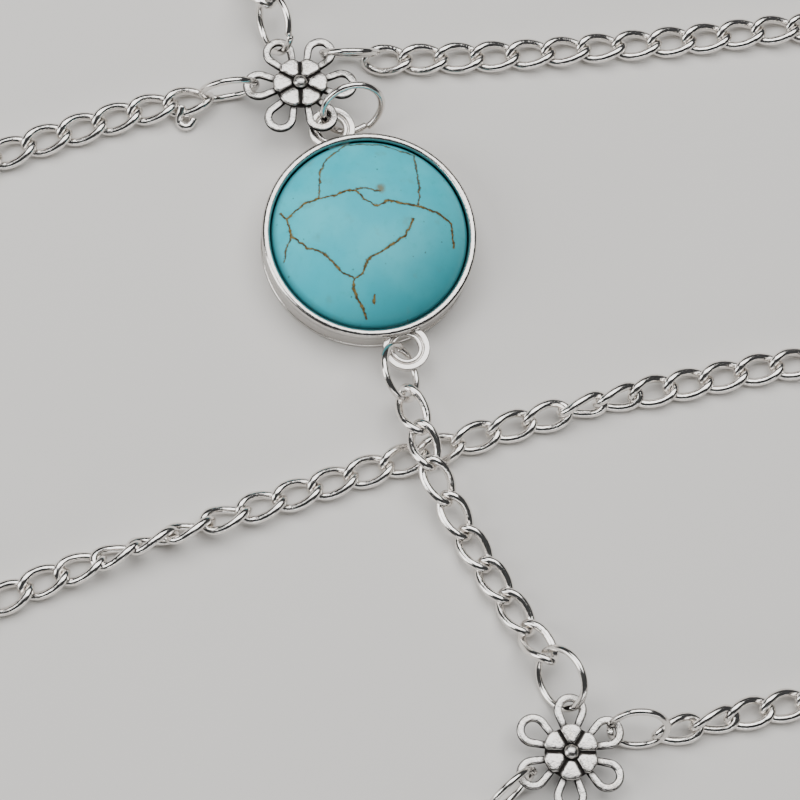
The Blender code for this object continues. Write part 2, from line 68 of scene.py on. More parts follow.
# %% Camera
CAMERA_AZIMUTH = math.radians(-37)
CAMERA_ELEVATION = math.radians(73)
CAMERA_ROLL = math.radians(19.5)
CAMERA_DISTANCE = 320 * MM
CAMERA_TARGET = Vector((-1.85, -16.65, 0)) * MM
PICTURE_PIXELS = 800
FOCAL_PIXELS = 3149
SENSOR = 36.0


def view_axes():
    """The picture's own right and up, and the direction back to the camera."""
    level = math.cos(CAMERA_ELEVATION)
    back = Vector((
        math.sin(CAMERA_AZIMUTH) * level, -math.cos(CAMERA_AZIMUTH) * level, math.sin(CAMERA_ELEVATION)
    ))
    across = Vector((0, 0, 1)).cross(back).normalized()
    upward = back.cross(across)
    right = across * math.cos(CAMERA_ROLL) + upward * math.sin(CAMERA_ROLL)
    up = upward * math.cos(CAMERA_ROLL) - across * math.sin(CAMERA_ROLL)
    return right, up, back


picture_right, picture_up, picture_back = view_axes()
camera_data = bpy.data.cameras.new("camera")
camera_data.sensor_width = SENSOR
camera_data.lens = FOCAL_PIXELS / PICTURE_PIXELS * SENSOR
camera_data.clip_start = 0.01
camera_data.clip_end = 10
camera = add_object("camera", camera_data)
turn = Matrix((picture_right, picture_up, picture_back)).transposed().to_4x4()
camera.matrix_world = Matrix.Translation(CAMERA_TARGET + picture_back * CAMERA_DISTANCE) @ turn
bpy.context.scene.camera = camera
print("lens in mm:", round(camera_data.lens, 1))

# %% [markdown]
# ## Shader maths
#
# A material is a net of nodes. Wiring each one by hand hides the sum that it
# works out. This small class holds an output socket and turns the usual signs
# into Math nodes, so that a mask can be written the way it is thought of:
# one minus the distance, times the noise.


# %% A socket that can be calculated with
class Signal:
    """The output of a shader node. Sums of signals add Math nodes."""

    def __init__(self, tree, socket):
        self.tree = tree
        self.socket = socket

    def node(self, kind, settings=None, inputs=None, output=0):
        """Adds a node of any kind: its settings first, then its sockets' values or links."""
        made = self.tree.nodes.new(kind)
        for key, value in (settings or {}).items():
            setattr(made, key, value)
        for key, value in (inputs or {}).items():
            socket = made.inputs[key]
            if isinstance(value, Signal):
                self.tree.links.new(value.socket, socket)
            else:
                socket.default_value = value
        return Signal(self.tree, made.outputs[output])

    def math(self, operation, *values):
        return self.node("ShaderNodeMath", {"operation": operation}, dict(enumerate(values)))

    def __add__(self, other):
        return self.math("ADD", self, other)

    def __sub__(self, other):
        return self.math("SUBTRACT", self, other)

    def __mul__(self, other):
        return self.math("MULTIPLY", self, other)

    def __truediv__(self, other):
        return self.math("DIVIDE", self, other)

    def __radd__(self, other):
        return self.math("ADD", other, self)

    def __rsub__(self, other):
        return self.math("SUBTRACT", other, self)

    def __rmul__(self, other):
        return self.math("MULTIPLY", other, self)

    def least(self, other):
        return self.math("MINIMUM", self, other)

    def most(self, other):
        return self.math("MAXIMUM", self, other)

    def between(self, low, high):
        """0 below low, 1 above high, with a soft step between them."""
        inputs = {"Value": self, "From Min": low, "From Max": high}
        return self.node("ShaderNodeMapRange", {"interpolation_type": "SMOOTHSTEP"}, inputs)

    def vector(self, operation, *values, output=0):
        settings = {"operation": operation}
        return self.node("ShaderNodeVectorMath", settings, dict(enumerate(values)), output)

    def stretched(self, scale):
        return self.vector("MULTIPLY", self, scale)

    def noise(self, scale, detail=2.0, roughness=0.5):
        inputs = {"Vector": self, "Scale": scale, "Detail": detail, "Roughness": roughness}
        return self.node("ShaderNodeTexNoise", None, inputs)

    def mixed(self, low, high):
        """A colour that goes from low to high as this signal goes from 0 to 1."""
        low = low if isinstance(low, Signal) else (*low, 1)
        high = high if isinstance(high, Signal) else (*high, 1)
        inputs = {"Factor": self, 6: low, 7: high}
        return self.node("ShaderNodeMix", {"data_type": "RGBA"}, inputs, output=2)

    def bump(self, strength, distance, after=None):
        inputs = {"Strength": strength, "Distance": distance, "Height": self}
        if after:
            inputs["Normal"] = after
        return self.node("ShaderNodeBump", None, inputs)


def new_finish(name, **fixed):
    """A material, its surface shader and a signal of the place on the piece, in millimetres."""
    finish = bpy.data.materials.new(name)
    finish.use_nodes = True
    tree = finish.node_tree
    surface = tree.nodes["Principled BSDF"]
    for socket, value in fixed.items():
        surface.inputs[socket.replace("_", " ")].default_value = value
    start = Signal(tree, None)
    place = start.node("ShaderNodeTexCoord", None, None, "Object").stretched((1 / MM,) * 3)
    return finish, surface, place


def feed(surface, **signals):
    """Links each signal to the surface's socket of that name."""
    for socket, signal in signals.items():
        signal.tree.links.new(signal.socket, surface.inputs[socket.replace("_", " ")])


# %% [markdown]
# ## The silver plate
#
# The chain, the rings and the castings are base metal with a thin bright
# plate. It is not a perfect mirror: wire is drawn, so it has faint lines and
# dents, and handling leaves a slight warm tarnish. One helper makes the
# finish, and each kind of piece gets its own shares of these faults. The
# castings are a little rougher than the wire and reflect less.

# %% Silver plate
PLATE = (0.83, 0.80, 0.765)
TARNISH = (0.60, 0.53, 0.44)
OXIDE = (0.018, 0.016, 0.015)
OXIDE_ROUGHNESS = 0.55
DRAWN_STRETCH = (7.0, 7.0, 1.2)
DENT_DEPTH = 0.06 * MM
SCRATCH_DEPTH = 0.01 * MM


def plated(name, polish, spread, tarnish, dents, shade=1.0, relief=False):
    """Bright plated metal: polish is its roughness and spread how much that varies.

    Tarnish, dents and shade are shares. With relief, what lies deep is blackened.
    """
    finish, surface, place = new_finish(name, Metallic=1.0)
    cloud = place.noise(0.55, 3.0)
    fine = place.noise(6.0, 3.0, 0.6)
    lines = place.stretched(DRAWN_STRETCH).noise(2.2, 2.0)
    stain = (cloud * 0.6 + fine * 0.4).between(0.52, 0.72) * tarnish
    color = stain.mixed([c * shade for c in PLATE], [c * shade for c in TARNISH])
    rough = polish + (fine - 0.5) * spread + (lines - 0.5) * spread
    if relief:
        top = place.node("ShaderNodeAttribute", {"attribute_name": "relief"}, None, "Fac")
        worn = (top + (fine - 0.5) * 0.35).between(0.30, 0.62)
        color = worn.mixed(OXIDE, color)
        rough = worn * rough + (1 - worn) * OXIDE_ROUGHNESS
    soft_dents = (place.noise(1.4, 1.0) + fine * 0.5).bump(dents, DENT_DEPTH)
    scratched = lines.bump(0.12, SCRATCH_DEPTH, soft_dents)
    feed(surface, Base_Color=color, Roughness=rough, Normal=scratched)
    return finish


cup_metal = plated("cup_metal", polish=0.17, spread=0.14, tarnish=0.45, dents=0.45, shade=0.78)
flower_metal = plated(
    "flower_metal", polish=0.22, spread=0.20, tarnish=0.8, dents=1.0, shade=0.68, relief=True
)
ring_wire = plated("ring_wire", polish=0.14, spread=0.10, tarnish=0.40, dents=0.22, shade=0.94)
chain_metal = plated("chain_metal", polish=0.13, spread=0.12, tarnish=0.35, dents=0.45)
clasp_metal = plated("clasp_metal", polish=0.18, spread=0.12, tarnish=0.25, dents=0.25)
print("metal finishes:", [m.name for m in bpy.data.materials if m.name.endswith(("metal", "wire"))])

# %% [markdown]
# ## The stone's finish
#
# The stone has the colour of turquoise: an even light blue, crossed by thin
# brown veins that run as jagged cracks. A noise texture gives cracks, but never
# these ones. So the veins are a short list of lines over the stone, and the
# shader measures the distance to the nearest one. Noise bends the place that
# is measured from, which makes the straight lines jagged.

# %% The veins, as places on the stone in millimetres
VEINS = {
    "upper_crack": [
        (-8.2, 4.3), (-7.9, 3.4), (-5.9, 4.3), (-4.3, 4.3), (-2.7, 4.1), (-1.4, 4.2), (-0.4, 3.9),
        (0, 2.8), (1.1, 1.7), (2.3, 2.0), (5.2, 0.6), (7.2, -0.7), (8.0, -1.8), (7.5, -4.2),
    ],
    "top_arc": [
        (-4.2, 4.4), (-3.2, 7.1), (-2.0, 8.5), (0.6, 9.7), (1.9, 9.3), (4.0, 8.6), (5.8, 7.2),
        (6.9, 6.7),
    ],
    "right_drop": [(6.9, 6.7), (6.4, 4.7), (6.0, 2.8), (5.2, 0.7)],
    "branch": [(-0.3, 4.1), (0.6, 3.9), (1.8, 3.2)],
    "left_crack": [
        (-7.9, 3.4), (-8.0, 1.4), (-7.0, -0.2), (-5.6, -1.3), (-4.9, -2.8), (-4.4, -3.9),
        (-3.4, -4.8),
    ],
    "left_spur": [(-8.0, 1.4), (-8.9, 0.5), (-9.4, -0.6)],
    "right_arm": [(-3.4, -4.8), (-2.5, -4.6), (-1.6, -3.4), (0.1, -3.0), (2.9, -2.0), (4.2, -0.6)],
    "tail": [(-3.4, -4.8), (-3.8, -5.7), (-3.6, -7.1), (-3.2, -8.7)],
    "short_mark": [(-2.0, -7.0), (-2.2, -7.7)],
}
FAINT = {"top_arc", "right_drop", "left_spur", "branch"}
VEIN_WARP = 0.62
VEIN_DEPTH = 0.06 * MM
POLISH_DEPTH = 0.02 * MM
SMUDGE_AT = (2.0, 3.5)
print("vein lines:", sum(len(line) - 1 for line in VEINS.values()))


# %% Stone material
def nearest_line(place, lines):
    """The distance from the place to the nearest of the lines."""
    nearest = None
    for line in lines:
        for start, end in zip(line, line[1:]):
            start, end = Vector((*start, 0)), Vector((*end, 0))
            span = end - start
            from_start = place.vector("SUBTRACT", place, start)
            share = from_start.vector("DOT_PRODUCT", from_start, span / span.length_squared, output=1)
            held = share.most(0.0).least(1.0)
            on_line = held.node("ShaderNodeVectorMath", {"operation": "SCALE"}, {0: span, 3: held})
            off = from_start.vector("DISTANCE", from_start, on_line, output=1)
            nearest = off if nearest is None else nearest.least(off)
    return nearest


STONE_BLUE = (0.016, 0.500, 0.610)
STONE_LIGHT = (0.055, 0.600, 0.700)
STONE_GREEN = (0.025, 0.390, 0.420)
# The colour of the shade that is painted on one side of the stone and round its rim
STONE_PAINTED_SHADE = (0.045, 0.175, 0.190)
# Painted shade: the side towards which the stone is darkened, and where its darkened rim starts and
# ends
PAINTED_SHADE_TOWARDS = (0.385, -0.923, 0.0)
PAINTED_RIM_SHADE = (9.3, 10.02)
VEIN_BROWN = (0.070, 0.044, 0.012)
VEIN_TAN = (0.180, 0.130, 0.040)


def stone_finish():
    """The stone's colour, from its clouds, specks and veins, with painted shade on one side and at the
    rim.
    """
    finish, surface, place = new_finish("stone", Roughness=0.4, Specular_IOR_Level=0.16)
    flat = place.stretched((1.0, 1.0, 0.0))
    warp = {"Vector": flat, "Scale": 1.7, "Detail": 4.0, "Roughness": 0.65}
    shift = flat.node("ShaderNodeTexNoise", None, warp, 1)
    centred = flat.vector("SUBTRACT", flat, (VEIN_WARP / 2, VEIN_WARP / 2, 0))
    jagged = flat.vector("MULTIPLY_ADD", shift, (VEIN_WARP, VEIN_WARP, 0.0), centred)
    width = 0.060 + flat.noise(0.9, 2.0) * 0.17
    strong = nearest_line(jagged, [line for name, line in VEINS.items() if name not in FAINT])
    faint = nearest_line(jagged, [line for name, line in VEINS.items() if name in FAINT])
    bold = 1 - (strong / width).between(0.45, 1.25)
    vein = bold.most(0.95 * (1 - (faint / width).between(0.35, 1.15)))
    halo = (1 - strong.between(0.0, 0.55)) * 0.22
    cloud = flat.noise(0.16, 3.0)
    mottled = flat.noise(1.1, 4.0, 0.6)
    body = cloud.between(0.35, 0.7).mixed(STONE_BLUE, STONE_LIGHT)
    body = (mottled.between(0.5, 0.8) * 0.35).mixed(body, STONE_GREEN)
    body = halo.mixed(body, STONE_GREEN)
    across = flat.vector("DOT_PRODUCT", flat, PAINTED_SHADE_TOWARDS, output=1)
    from_middle = flat.vector("LENGTH", flat, output=1)
    # Painted shade: the stone is darkened towards one side and in a ring at its rim
    deep = (across.between(-1.0, 13.0) * 0.75).most(from_middle.between(*PAINTED_RIM_SHADE) * 0.8)
    body = deep.mixed(body, STONE_PAINTED_SHADE)
    blotch = (flat.noise(0.42, 3.0) - across * 0.004).between(0.60, 0.74) * 0.22
    body = blotch.mixed(body, VEIN_TAN)
    cells = flat.node("ShaderNodeTexVoronoi", None, {"Vector": flat, "Scale": 1.1})
    speck = 1 - cells.between(0.045, 0.13)
    sparse = flat.noise(0.8, 0.0).between(0.50, 0.56)
    body = (speck * sparse * 0.75).mixed(body, VEIN_BROWN)
    from_smudge = jagged.vector("DISTANCE", jagged, (*SMUDGE_AT, 0.0), output=1)
    smudge = 1 - (from_smudge + mottled * 0.8).between(0.45, 1.15)
    body = (smudge * 0.85).mixed(body, VEIN_TAN)
    brown = flat.noise(2.6, 2.0).between(0.40, 0.62).mixed(VEIN_BROWN, VEIN_TAN)
    color = vein.mixed(body, brown)
    rough = 0.36 + vein * 0.3 + (mottled - 0.5) * 0.12
    sunk = (1 - vein).bump(0.35, VEIN_DEPTH)
    polish = flat.noise(3.0, 3.0).bump(0.03, POLISH_DEPTH, sunk)
    feed(surface, Base_Color=color, Roughness=rough, Normal=polish)
    return finish


stone = stone_finish()
print("nodes in the stone's finish:", len(stone.node_tree.nodes))

# %% [markdown]
# ## Building meshes
#
# Everything here is either turned about an axis or swept along a wire, so two
# small tools do most of the work: one skins a row of sections, the other
# stores the result as a piece and says what it stands for. A piece can hold
# several closed shells that run into each other, as soldered parts do.


# %% Mesh tools
def unit(vector):
    return vector / np.linalg.norm(vector)


def skin(sections, closed=True):
    """A closed shell over a row of sections, each a ring of as many points."""
    count, sides = sections.shape[:2]
    rows = count if closed else count - 1
    i, j = np.meshgrid(np.arange(rows), np.arange(sides), indexing="ij")
    after, beside = (i + 1) % count, (j + 1) % sides
    quads = np.stack([i * sides + j, i * sides + beside, after * sides + beside, after * sides + j], -1)
    faces = [tuple(q) for q in quads.reshape(-1, 4).tolist()]
    if not closed:
        faces.append(tuple(range(sides))[::-1])
        faces.append(tuple(range((count - 1) * sides, count * sides)))
    return sections.reshape(-1, 3), faces


def turned(profile, steps):
    """A shell of revolution. Its profile, (radius, height), starts and ends on the axis."""
    points, rows = [], []
    for radius, height in profile:
        rows.append((len(points), radius > 0))
        angles = np.arange(steps if radius > 0 else 1) * 2 * math.pi / steps
        for angle in angles:
            points.append((radius * math.cos(angle), radius * math.sin(angle), height))
    faces = []
    for (a, wide_a), (b, wide_b) in zip(rows, rows[1:]):
        for k in range(steps):
            nxt = (k + 1) % steps
            corners = [a + k * wide_a, b + k * wide_b]
            if wide_b:
                corners.append(b + nxt)
            if wide_a:
                corners.append(a + nxt)
            faces.append(tuple(corners))
    return np.array(points), faces


def rounded(corners, radius, steps=3):
    """A closed outline with each corner rounded off."""
    points = []
    for before, corner, after in zip([corners[-1], *corners[:-1]], corners, [*corners[1:], corners[0]]):
        here = Vector(corner)
        back, forth = Vector(before) - here, Vector(after) - here
        reach = min(radius, back.length * 0.45, forth.length * 0.45)
        first, last = here + back.normalized() * reach, here + forth.normalized() * reach
        for k in range(steps + 1):
            t = k / steps
            points.append(tuple(first * (1 - t) ** 2 + here * 2 * t * (1 - t) + last * t**2))
    return points


def make_piece(name, shells, finish, nodes, pose=None, relief=None, crease=None):
    """Stores shells, in millimetres, as one piece that stands for the named solids."""
    points = np.concatenate([shell[0] for shell in shells]) * MM
    faces, first = [], 0
    for shell_points, shell_faces in shells:
        faces += [tuple(k + first for k in face) for face in shell_faces]
        first += len(shell_points)
    mesh = bpy.data.meshes.new(name)
    mesh.from_pydata(points.tolist(), [], faces)
    shape = bmesh.new()
    shape.from_mesh(mesh)
    bmesh.ops.recalc_face_normals(shape, faces=shape.faces)
    shape.to_mesh(mesh)
    shape.free()
    mesh.shade_smooth()
    if crease:
        mesh.set_sharp_from_angle(angle=math.radians(crease))
    if relief is not None:
        mesh.attributes.new("relief", "FLOAT", "POINT").data.foreach_set("value", relief)
    mesh.materials.append(finish)
    piece = add_object(name, mesh)
    if pose is not None:
        piece.matrix_world = pose
    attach(piece, "root")
    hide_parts(*nodes)
    print(f"{name}: {len(mesh.vertices)} points")


# %% [markdown]
# ## The cup
#
# The stone sits in a cast cup, a shallow box with a thin wall whose edge is
# rolled smooth so that it doesn't catch. Two cast rings on it, the ears, carry
# the jump rings. A cup like this can be cut with Booleans, but a turned
# profile gives cleaner edges: it runs from the floor under the stone up the
# inside, over the lip, down the outside, and in under the back.

# %% Cup and ears
CUP_RADIUS = 11.0
CUP_WALL = 0.6
CUP_FLOOR = 0.8
CUP_HEIGHT = 4.1
CUP_STEPS = 160
LIP_WIDTH = 0.86
LIP_RISE = 0.40
LIP_FULLNESS = 0.9
LIP_STEPS = 12
EAR_REACH = 12.29
EAR_HOLE = 1.25
EAR_RADIUS = 2.4
EAR_TOP = 3.0
EAR_THICK = 0.8
EAR_BAND = 0.62
EAR_RIDGE_DROP = 0.12
EAR_GROOVE_DROP = 0.42
EAR_ROUND = 0.12
EAR_STEPS = 72

inner = CUP_RADIUS - CUP_WALL
cup_profile = [
    (0.0, CUP_FLOOR), (inner - 0.05, CUP_FLOOR), (inner, CUP_FLOOR + 0.05),
    (inner, CUP_HEIGHT - LIP_RISE * 2),
]
for k in range(LIP_STEPS + 1):
    swing = math.pi * k / LIP_STEPS
    cup_profile.append((
        CUP_RADIUS - LIP_WIDTH / 2 * (1 + math.cos(swing)),
        CUP_HEIGHT - LIP_RISE + LIP_RISE * math.sin(swing) ** LIP_FULLNESS,
    ))
# Below the lip: a small step in, the wall, and the rounded foot
cup_profile += [
    (CUP_RADIUS, CUP_HEIGHT - 0.95), (CUP_RADIUS - 0.04, CUP_HEIGHT - 1.05),
    (CUP_RADIUS - 0.14, CUP_HEIGHT - 1.10), (CUP_RADIUS - 0.16, 0.55), (CUP_RADIUS - 0.10, 0.50),
    (CUP_RADIUS - 0.06, 0.42), (CUP_RADIUS - 0.06, 0.18), (CUP_RADIUS - 0.12, 0.06),
    (CUP_RADIUS - 0.25, 0.0), (0.0, 0.0),
]


def ear(side):
    """One ear: a flat band with a step down to a low ridge round its hole."""
    low, high = EAR_TOP - EAR_THICK, EAR_TOP
    ridge, groove = high - EAR_RIDGE_DROP, high - EAR_GROOVE_DROP
    step = EAR_RADIUS - EAR_BAND
    corners = [
        (EAR_RADIUS, high), (EAR_RADIUS, low), (EAR_HOLE, low), (EAR_HOLE, ridge),
        (step - 0.16, ridge), (step - 0.13, groove), (step, groove), (step, high),
    ]
    section = rounded(corners, EAR_ROUND)
    sections = []
    for k in range(EAR_STEPS):
        angle = 2 * math.pi * k / EAR_STEPS
        across, along = math.cos(angle), math.sin(angle)
        sections.append([(r * across, side * EAR_REACH + r * along, z) for r, z in section])
    return skin(np.array(sections))


cup_shells = [turned(cup_profile, CUP_STEPS), ear(1), ear(-1)]
make_piece("cup", cup_shells, cup_metal, ["bezel_cup"], crease=50)

# %% [markdown]
# ## The stone
#
# A cabochon is a dome on a short straight girdle. A scaled half ball would do
# for the dome, but its points crowd at the top. Here the profile is nearly a
# quarter of an ellipse, a little fuller at the sides, in even steps. So the
# light runs over it without a facet.

# %% Stone
STONE_RADIUS = 10.04
STONE_BASE = 1.1
STONE_GIRDLE = 2.1
STONE_DOME = 3.8
STONE_FULLNESS = 0.92
STONE_BEVEL = 0.15
STONE_ROWS = 32
STONE_STEPS = 128

dome_foot = STONE_BASE + STONE_GIRDLE
stone_profile = [(0.0, dome_foot + STONE_DOME)]
for k in range(1, STONE_ROWS + 1):
    swing = math.pi / 2 * k / STONE_ROWS
    stone_profile.append((
        STONE_RADIUS * math.sin(swing) ** STONE_FULLNESS, dome_foot + STONE_DOME * math.cos(swing)
    ))
stone_profile += [
    (STONE_RADIUS, STONE_BASE + STONE_BEVEL), (STONE_RADIUS - STONE_BEVEL, STONE_BASE),
    (0.0, STONE_BASE),
]
stone_shell = turned(stone_profile, STONE_STEPS)
make_piece("turquoise_stone", [stone_shell], stone, ["cabochon"], crease=60)

# %% [markdown]
# ## The flower connectors
#
# Each flower is one small casting: six low petals round a bead, and behind
# each petal a loop that a ring can pass through. It is put together from
# closed shells: a disc, six domed petals, a bead, and six bands swept along a
# teardrop. Antique plate is blackened and then wiped, so only what stands
# proud is bright. Each point therefore keeps a number, its relief, which tells
# the finish how deep it lies.

# %% Flower shells
HUB_RADIUS = 2.55
HUB_TOP = 0.5
HUB_BASE = -0.3
HUB_BEVEL = 0.15
HUB_STEPS = 48
PETAL_TOP = 0.85
PETAL_REACH = 2.8
PETAL_GROOVE = 0.27
PETAL_INSET = 0.14
PETAL_SIDE = 0.86
BEAD_RADIUS = 0.74
BEAD_RISE = 0.50
BEAD_MIDDLE = 0.80
BEAD_ROWS = 14
BEAD_STEPS = 28
LOOP_RADIUS = 1.24
LOOP_REACH = 4.26
LOOP_WIDTH = 0.80
LOOP_THICK = 0.6
LOOP_ROUND = 0.24
LOOP_TURN = math.radians(112)
LOOP_FOOT = (1.95, 0.40)
LOOP_STEPS = 25
PETALS = 6
# The levels of a petal from its foot up: its size as a share, and its height
PETAL_LEVELS = [
    (1.0, HUB_TOP - 0.2), (1.0, PETAL_TOP - 0.22), (0.975, PETAL_TOP - 0.12),
    (0.91, PETAL_TOP - 0.045), (0.78, PETAL_TOP - 0.01), (0.55, PETAL_TOP + 0.01),
    (0.30, PETAL_TOP + 0.015),
]


def petal_shell(turn):
    """A wedge with a rounded outer edge and a softly domed top."""
    half = math.pi / PETALS
    inner_edge = BEAD_RADIUS + PETAL_INSET
    outline = []
    for share in (0.0, 0.25, 0.5, 0.75, 1.0):
        radius = inner_edge + (PETAL_REACH * PETAL_SIDE - inner_edge) * share
        outline.append((radius, -(half - math.asin(PETAL_GROOVE / 2 / radius))))
    for share in np.linspace(-0.62, 0.62, 9):
        outline.append((PETAL_REACH * (1 - 0.10 * abs(share) ** 3), share * half))
    outline += [(radius, -angle) for radius, angle in outline[4::-1]]
    flat = [Vector((r * math.cos(a + turn), r * math.sin(a + turn))) for r, a in outline]
    middle = sum(flat, Vector((0, 0))) / len(flat)
    sections = [
        [(*(middle + (p - middle) * size), height) for p in flat] for size, height in PETAL_LEVELS
    ]
    return skin(np.array(sections), closed=False)


def loop_shell(turn):
    """A band swept along a teardrop that starts and ends under the petals."""
    foot_reach, foot_side = LOOP_FOOT
    path = [Vector((foot_reach, foot_side))]
    for angle in np.linspace(LOOP_TURN, -LOOP_TURN, LOOP_STEPS):
        reach = LOOP_REACH + LOOP_RADIUS * math.cos(angle)
        path.append(Vector((reach, LOOP_RADIUS * math.sin(angle))))
    path.append(Vector((foot_reach, -foot_side)))
    w, t = LOOP_WIDTH / 2, LOOP_THICK / 2
    section = rounded([(w, t), (w, -t), (-w, -t), (-w, t)], LOOP_ROUND, 4)
    sections = []
    for k, here in enumerate(path):
        before, after = path[k - 1], path[(k + 1) % len(path)]
        along = ((here - before).normalized() + (after - here).normalized()).normalized()
        across = Vector((along.y, -along.x))
        ring = []
        for off, height in section:
            spot = here + across * off
            ring.append((
                spot.x * math.cos(turn) - spot.y * math.sin(turn),
                spot.x * math.sin(turn) + spot.y * math.cos(turn), height,
            ))
        sections.append(ring)
    return skin(np.array(sections))


def flower_shells():
    """The disc, the bead, and then each petal with its loop."""
    inner_hub = HUB_RADIUS - HUB_BEVEL
    hub = [
        (0.0, HUB_TOP), (inner_hub, HUB_TOP), (HUB_RADIUS, HUB_TOP - HUB_BEVEL),
        (HUB_RADIUS, HUB_BASE + HUB_BEVEL), (inner_hub, HUB_BASE), (0.0, HUB_BASE),
    ]
    bead = []
    for k in range(BEAD_ROWS + 1):
        swing = math.pi * k / BEAD_ROWS
        radius = BEAD_RADIUS * math.sin(swing) if 0 < k < BEAD_ROWS else 0.0
        bead.append((radius, BEAD_MIDDLE + BEAD_RISE * math.cos(swing)))
    shells = [turned(hub, HUB_STEPS), turned(bead, BEAD_STEPS)]
    for k in range(PETALS):
        turn = 2 * math.pi * k / PETALS
        shells += [petal_shell(turn), loop_shell(turn)]
    return shells


def rising(values, start, over):
    """0 up to the start, and then up to 1 over the given length."""
    return np.clip((values - start) / over, 0, 1)


def shell_relief(number, points):
    """How bare each point of a shell is wiped, from 0 in the grooves to 1 on top.

    The numbers follow flower_shells: 0 disc, 1 bead, then even petals and odd loops.
    """
    height = points[:, 2]
    radius = np.hypot(points[:, 0], points[:, 1])
    if number == 0:
        return np.where(radius > 2.3, 0.25, 0.0)
    if number == 1:
        return rising(height, 0.84, 0.10)
    if number % 2 == 0:
        return rising(height, PETAL_TOP - 0.24, 0.12)
    return rising(height, 0.16, 0.13) * rising(radius, 2.5, 0.5)


# %% Flowers in their places
UPPER_FLOWER_AT = (-1.779, 17.590, 3.405)
UPPER_TURN = math.radians(-16.5)
UPPER_TILT = math.radians(6)
UPPER_TILT_TOWARDS = math.radians(283.5)
LOWER_FLOWER_AT = (2.493, -56.308, 2.4)
LOWER_TURN = math.radians(11)


def flower_pose(place, turn, tilt=0.0, towards=0.0):
    lean = Matrix.Rotation(tilt, 4, Vector((math.sin(towards), -math.cos(towards), 0)))
    return Matrix.Translation(Vector(place) * MM) @ lean @ Matrix.Rotation(turn, 4, "Z")


shells = flower_shells()
relief = np.concatenate([shell_relief(number, points) for number, (points, _) in enumerate(shells)])
upper_pose = flower_pose(UPPER_FLOWER_AT, UPPER_TURN, UPPER_TILT, UPPER_TILT_TOWARDS)
lower_pose = flower_pose(LOWER_FLOWER_AT, LOWER_TURN)
for name, pose in (("upper_flower", upper_pose), ("lower_flower", lower_pose)):
    make_piece(name + "_cast", shells, flower_metal, [name], pose, relief, crease=45)

# %% [markdown]
# ## The jump rings
#
# A jump ring is one turn of wire, cut and closed with pliers. A torus has no
# cut, and the cut is what makes it read as wire, so the ring is swept along
# almost a full circle whose two ends stand a hair apart and a hair out of
# line. Its place and size come from the solid that it stands for: the middle
# of its points, the direction in which they spread least, and how far they lie
# from that line.

# %% Rings
# The wire's radius, the steps along and round it, and the bevel of its ends
RING_WIRE = 0.375
RING_STEPS = 56
WIRE_SIDES = 14
WIRE_BEVEL = 0.25
# How far the two cut ends stand apart, and how far out of line
CUT_GAP = 0.20
CUT_SLIP = 0.16
# A ring's mean point is its middle if it lies this near the middle of its box
EVEN_POINTS = 0.3
# Where each ring's cut faces, as an azimuth in degrees from the ring's middle
RING_CUTS = {
    "pendant_ring": 279, "riser_ring": 341, "top_left_ring": 85, "top_right_ring": 113, "ear_ring": 60,
    "drop_ring": -90, "lower_right_ring": 170, "lower_left_ring": 20, "left_end_ring": 90,
    "right_end_ring": 90, "riser_end_ring": 0,
}


def ring_pose(name):
    """The middle of a ring's solid, the axis that it is turned about and its radius."""
    points = np.array([v.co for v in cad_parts[name].data.vertices]) / MM
    mean, middle = points.mean(0), (points.min(0) + points.max(0)) / 2
    if abs(mean - middle).max() < EVEN_POINTS:
        middle = mean
    axis = np.linalg.svd(points - middle, full_matrices=False)[2][2]
    reach = np.linalg.norm(np.cross(points - middle, axis), axis=1)
    return middle, axis, (reach.min() + reach.max()) / 2


def wire_circle(middle, axis, radius, azimuth):
    """The line of a ring's wire from one cut end to the other."""
    towards = np.array([math.cos(math.radians(azimuth)), math.sin(math.radians(azimuth)), 0.0])
    first = unit(towards - axis * towards.dot(axis))
    second = np.cross(axis, first)
    gap = CUT_GAP / radius / 2
    angles = np.linspace(gap, 2 * math.pi - gap, RING_STEPS)
    # Only the last sixth of each half leaves the ring's plane
    leaving = np.clip(abs(angles / math.pi - 1) * 6 - 5, 0, 1)
    slip = CUT_SLIP * np.sign(math.pi - angles) * leaving
    return np.array([
        middle + radius * (math.cos(a) * first + math.sin(a) * second) + s * axis
        for a, s in zip(angles, slip)
    ])


def wire_shell(path, radius, sides=WIRE_SIDES, closed=False):
    """Round wire along a path. Open ends are blunt, with a small bevel."""
    count = len(path)
    if closed:
        along = np.roll(path, -1, 0) - np.roll(path, 1, 0)
    else:
        along = np.gradient(path, axis=0)
    along /= np.linalg.norm(along, axis=1)[:, None]
    start = np.cross(along[0], (0.0, 0.0, 1.0) if abs(along[0][2]) < 0.9 else (1.0, 0.0, 0.0))
    frames = [unit(start)]
    for k in range(1, count):
        frames.append(unit(frames[-1] - along[k] * frames[-1].dot(along[k])))
    frames = np.array(frames)
    if closed:
        # The frame comes home turned by some angle, which is shared out along the wire
        home = frames[0]
        last = unit(frames[-1] - along[0] * frames[-1].dot(along[0]))
        lag = math.atan2(np.cross(last, home).dot(along[0]), last.dot(home))
        shares = np.arange(count) / count * lag
        other = np.cross(along, frames)
        frames = frames * np.cos(shares)[:, None] + other * np.sin(shares)[:, None]
    other = np.cross(along, frames)
    angles = np.arange(sides) * 2 * math.pi / sides
    spokes = (frames[:, None, :] * np.cos(angles)[None, :, None]
              + other[:, None, :] * np.sin(angles)[None, :, None])
    sections = path[:, None, :] + radius * spokes
    if not closed:
        bevel = radius * WIRE_BEVEL
        for end, sign in ((0, -1), (-1, 1)):
            tip = path[end] + (sections[end] - path[end]) * (1 - WIRE_BEVEL) + along[end] * sign * bevel
            sections = np.concatenate([tip[None], sections] if end == 0 else [sections, tip[None]])
    return skin(sections, closed)


rings = {}
for name, azimuth in RING_CUTS.items():
    rings[name] = ring_pose(name)
    shell = wire_shell(wire_circle(*rings[name], azimuth), RING_WIRE)
    make_piece(name + "_wire", [shell], ring_wire, [name])

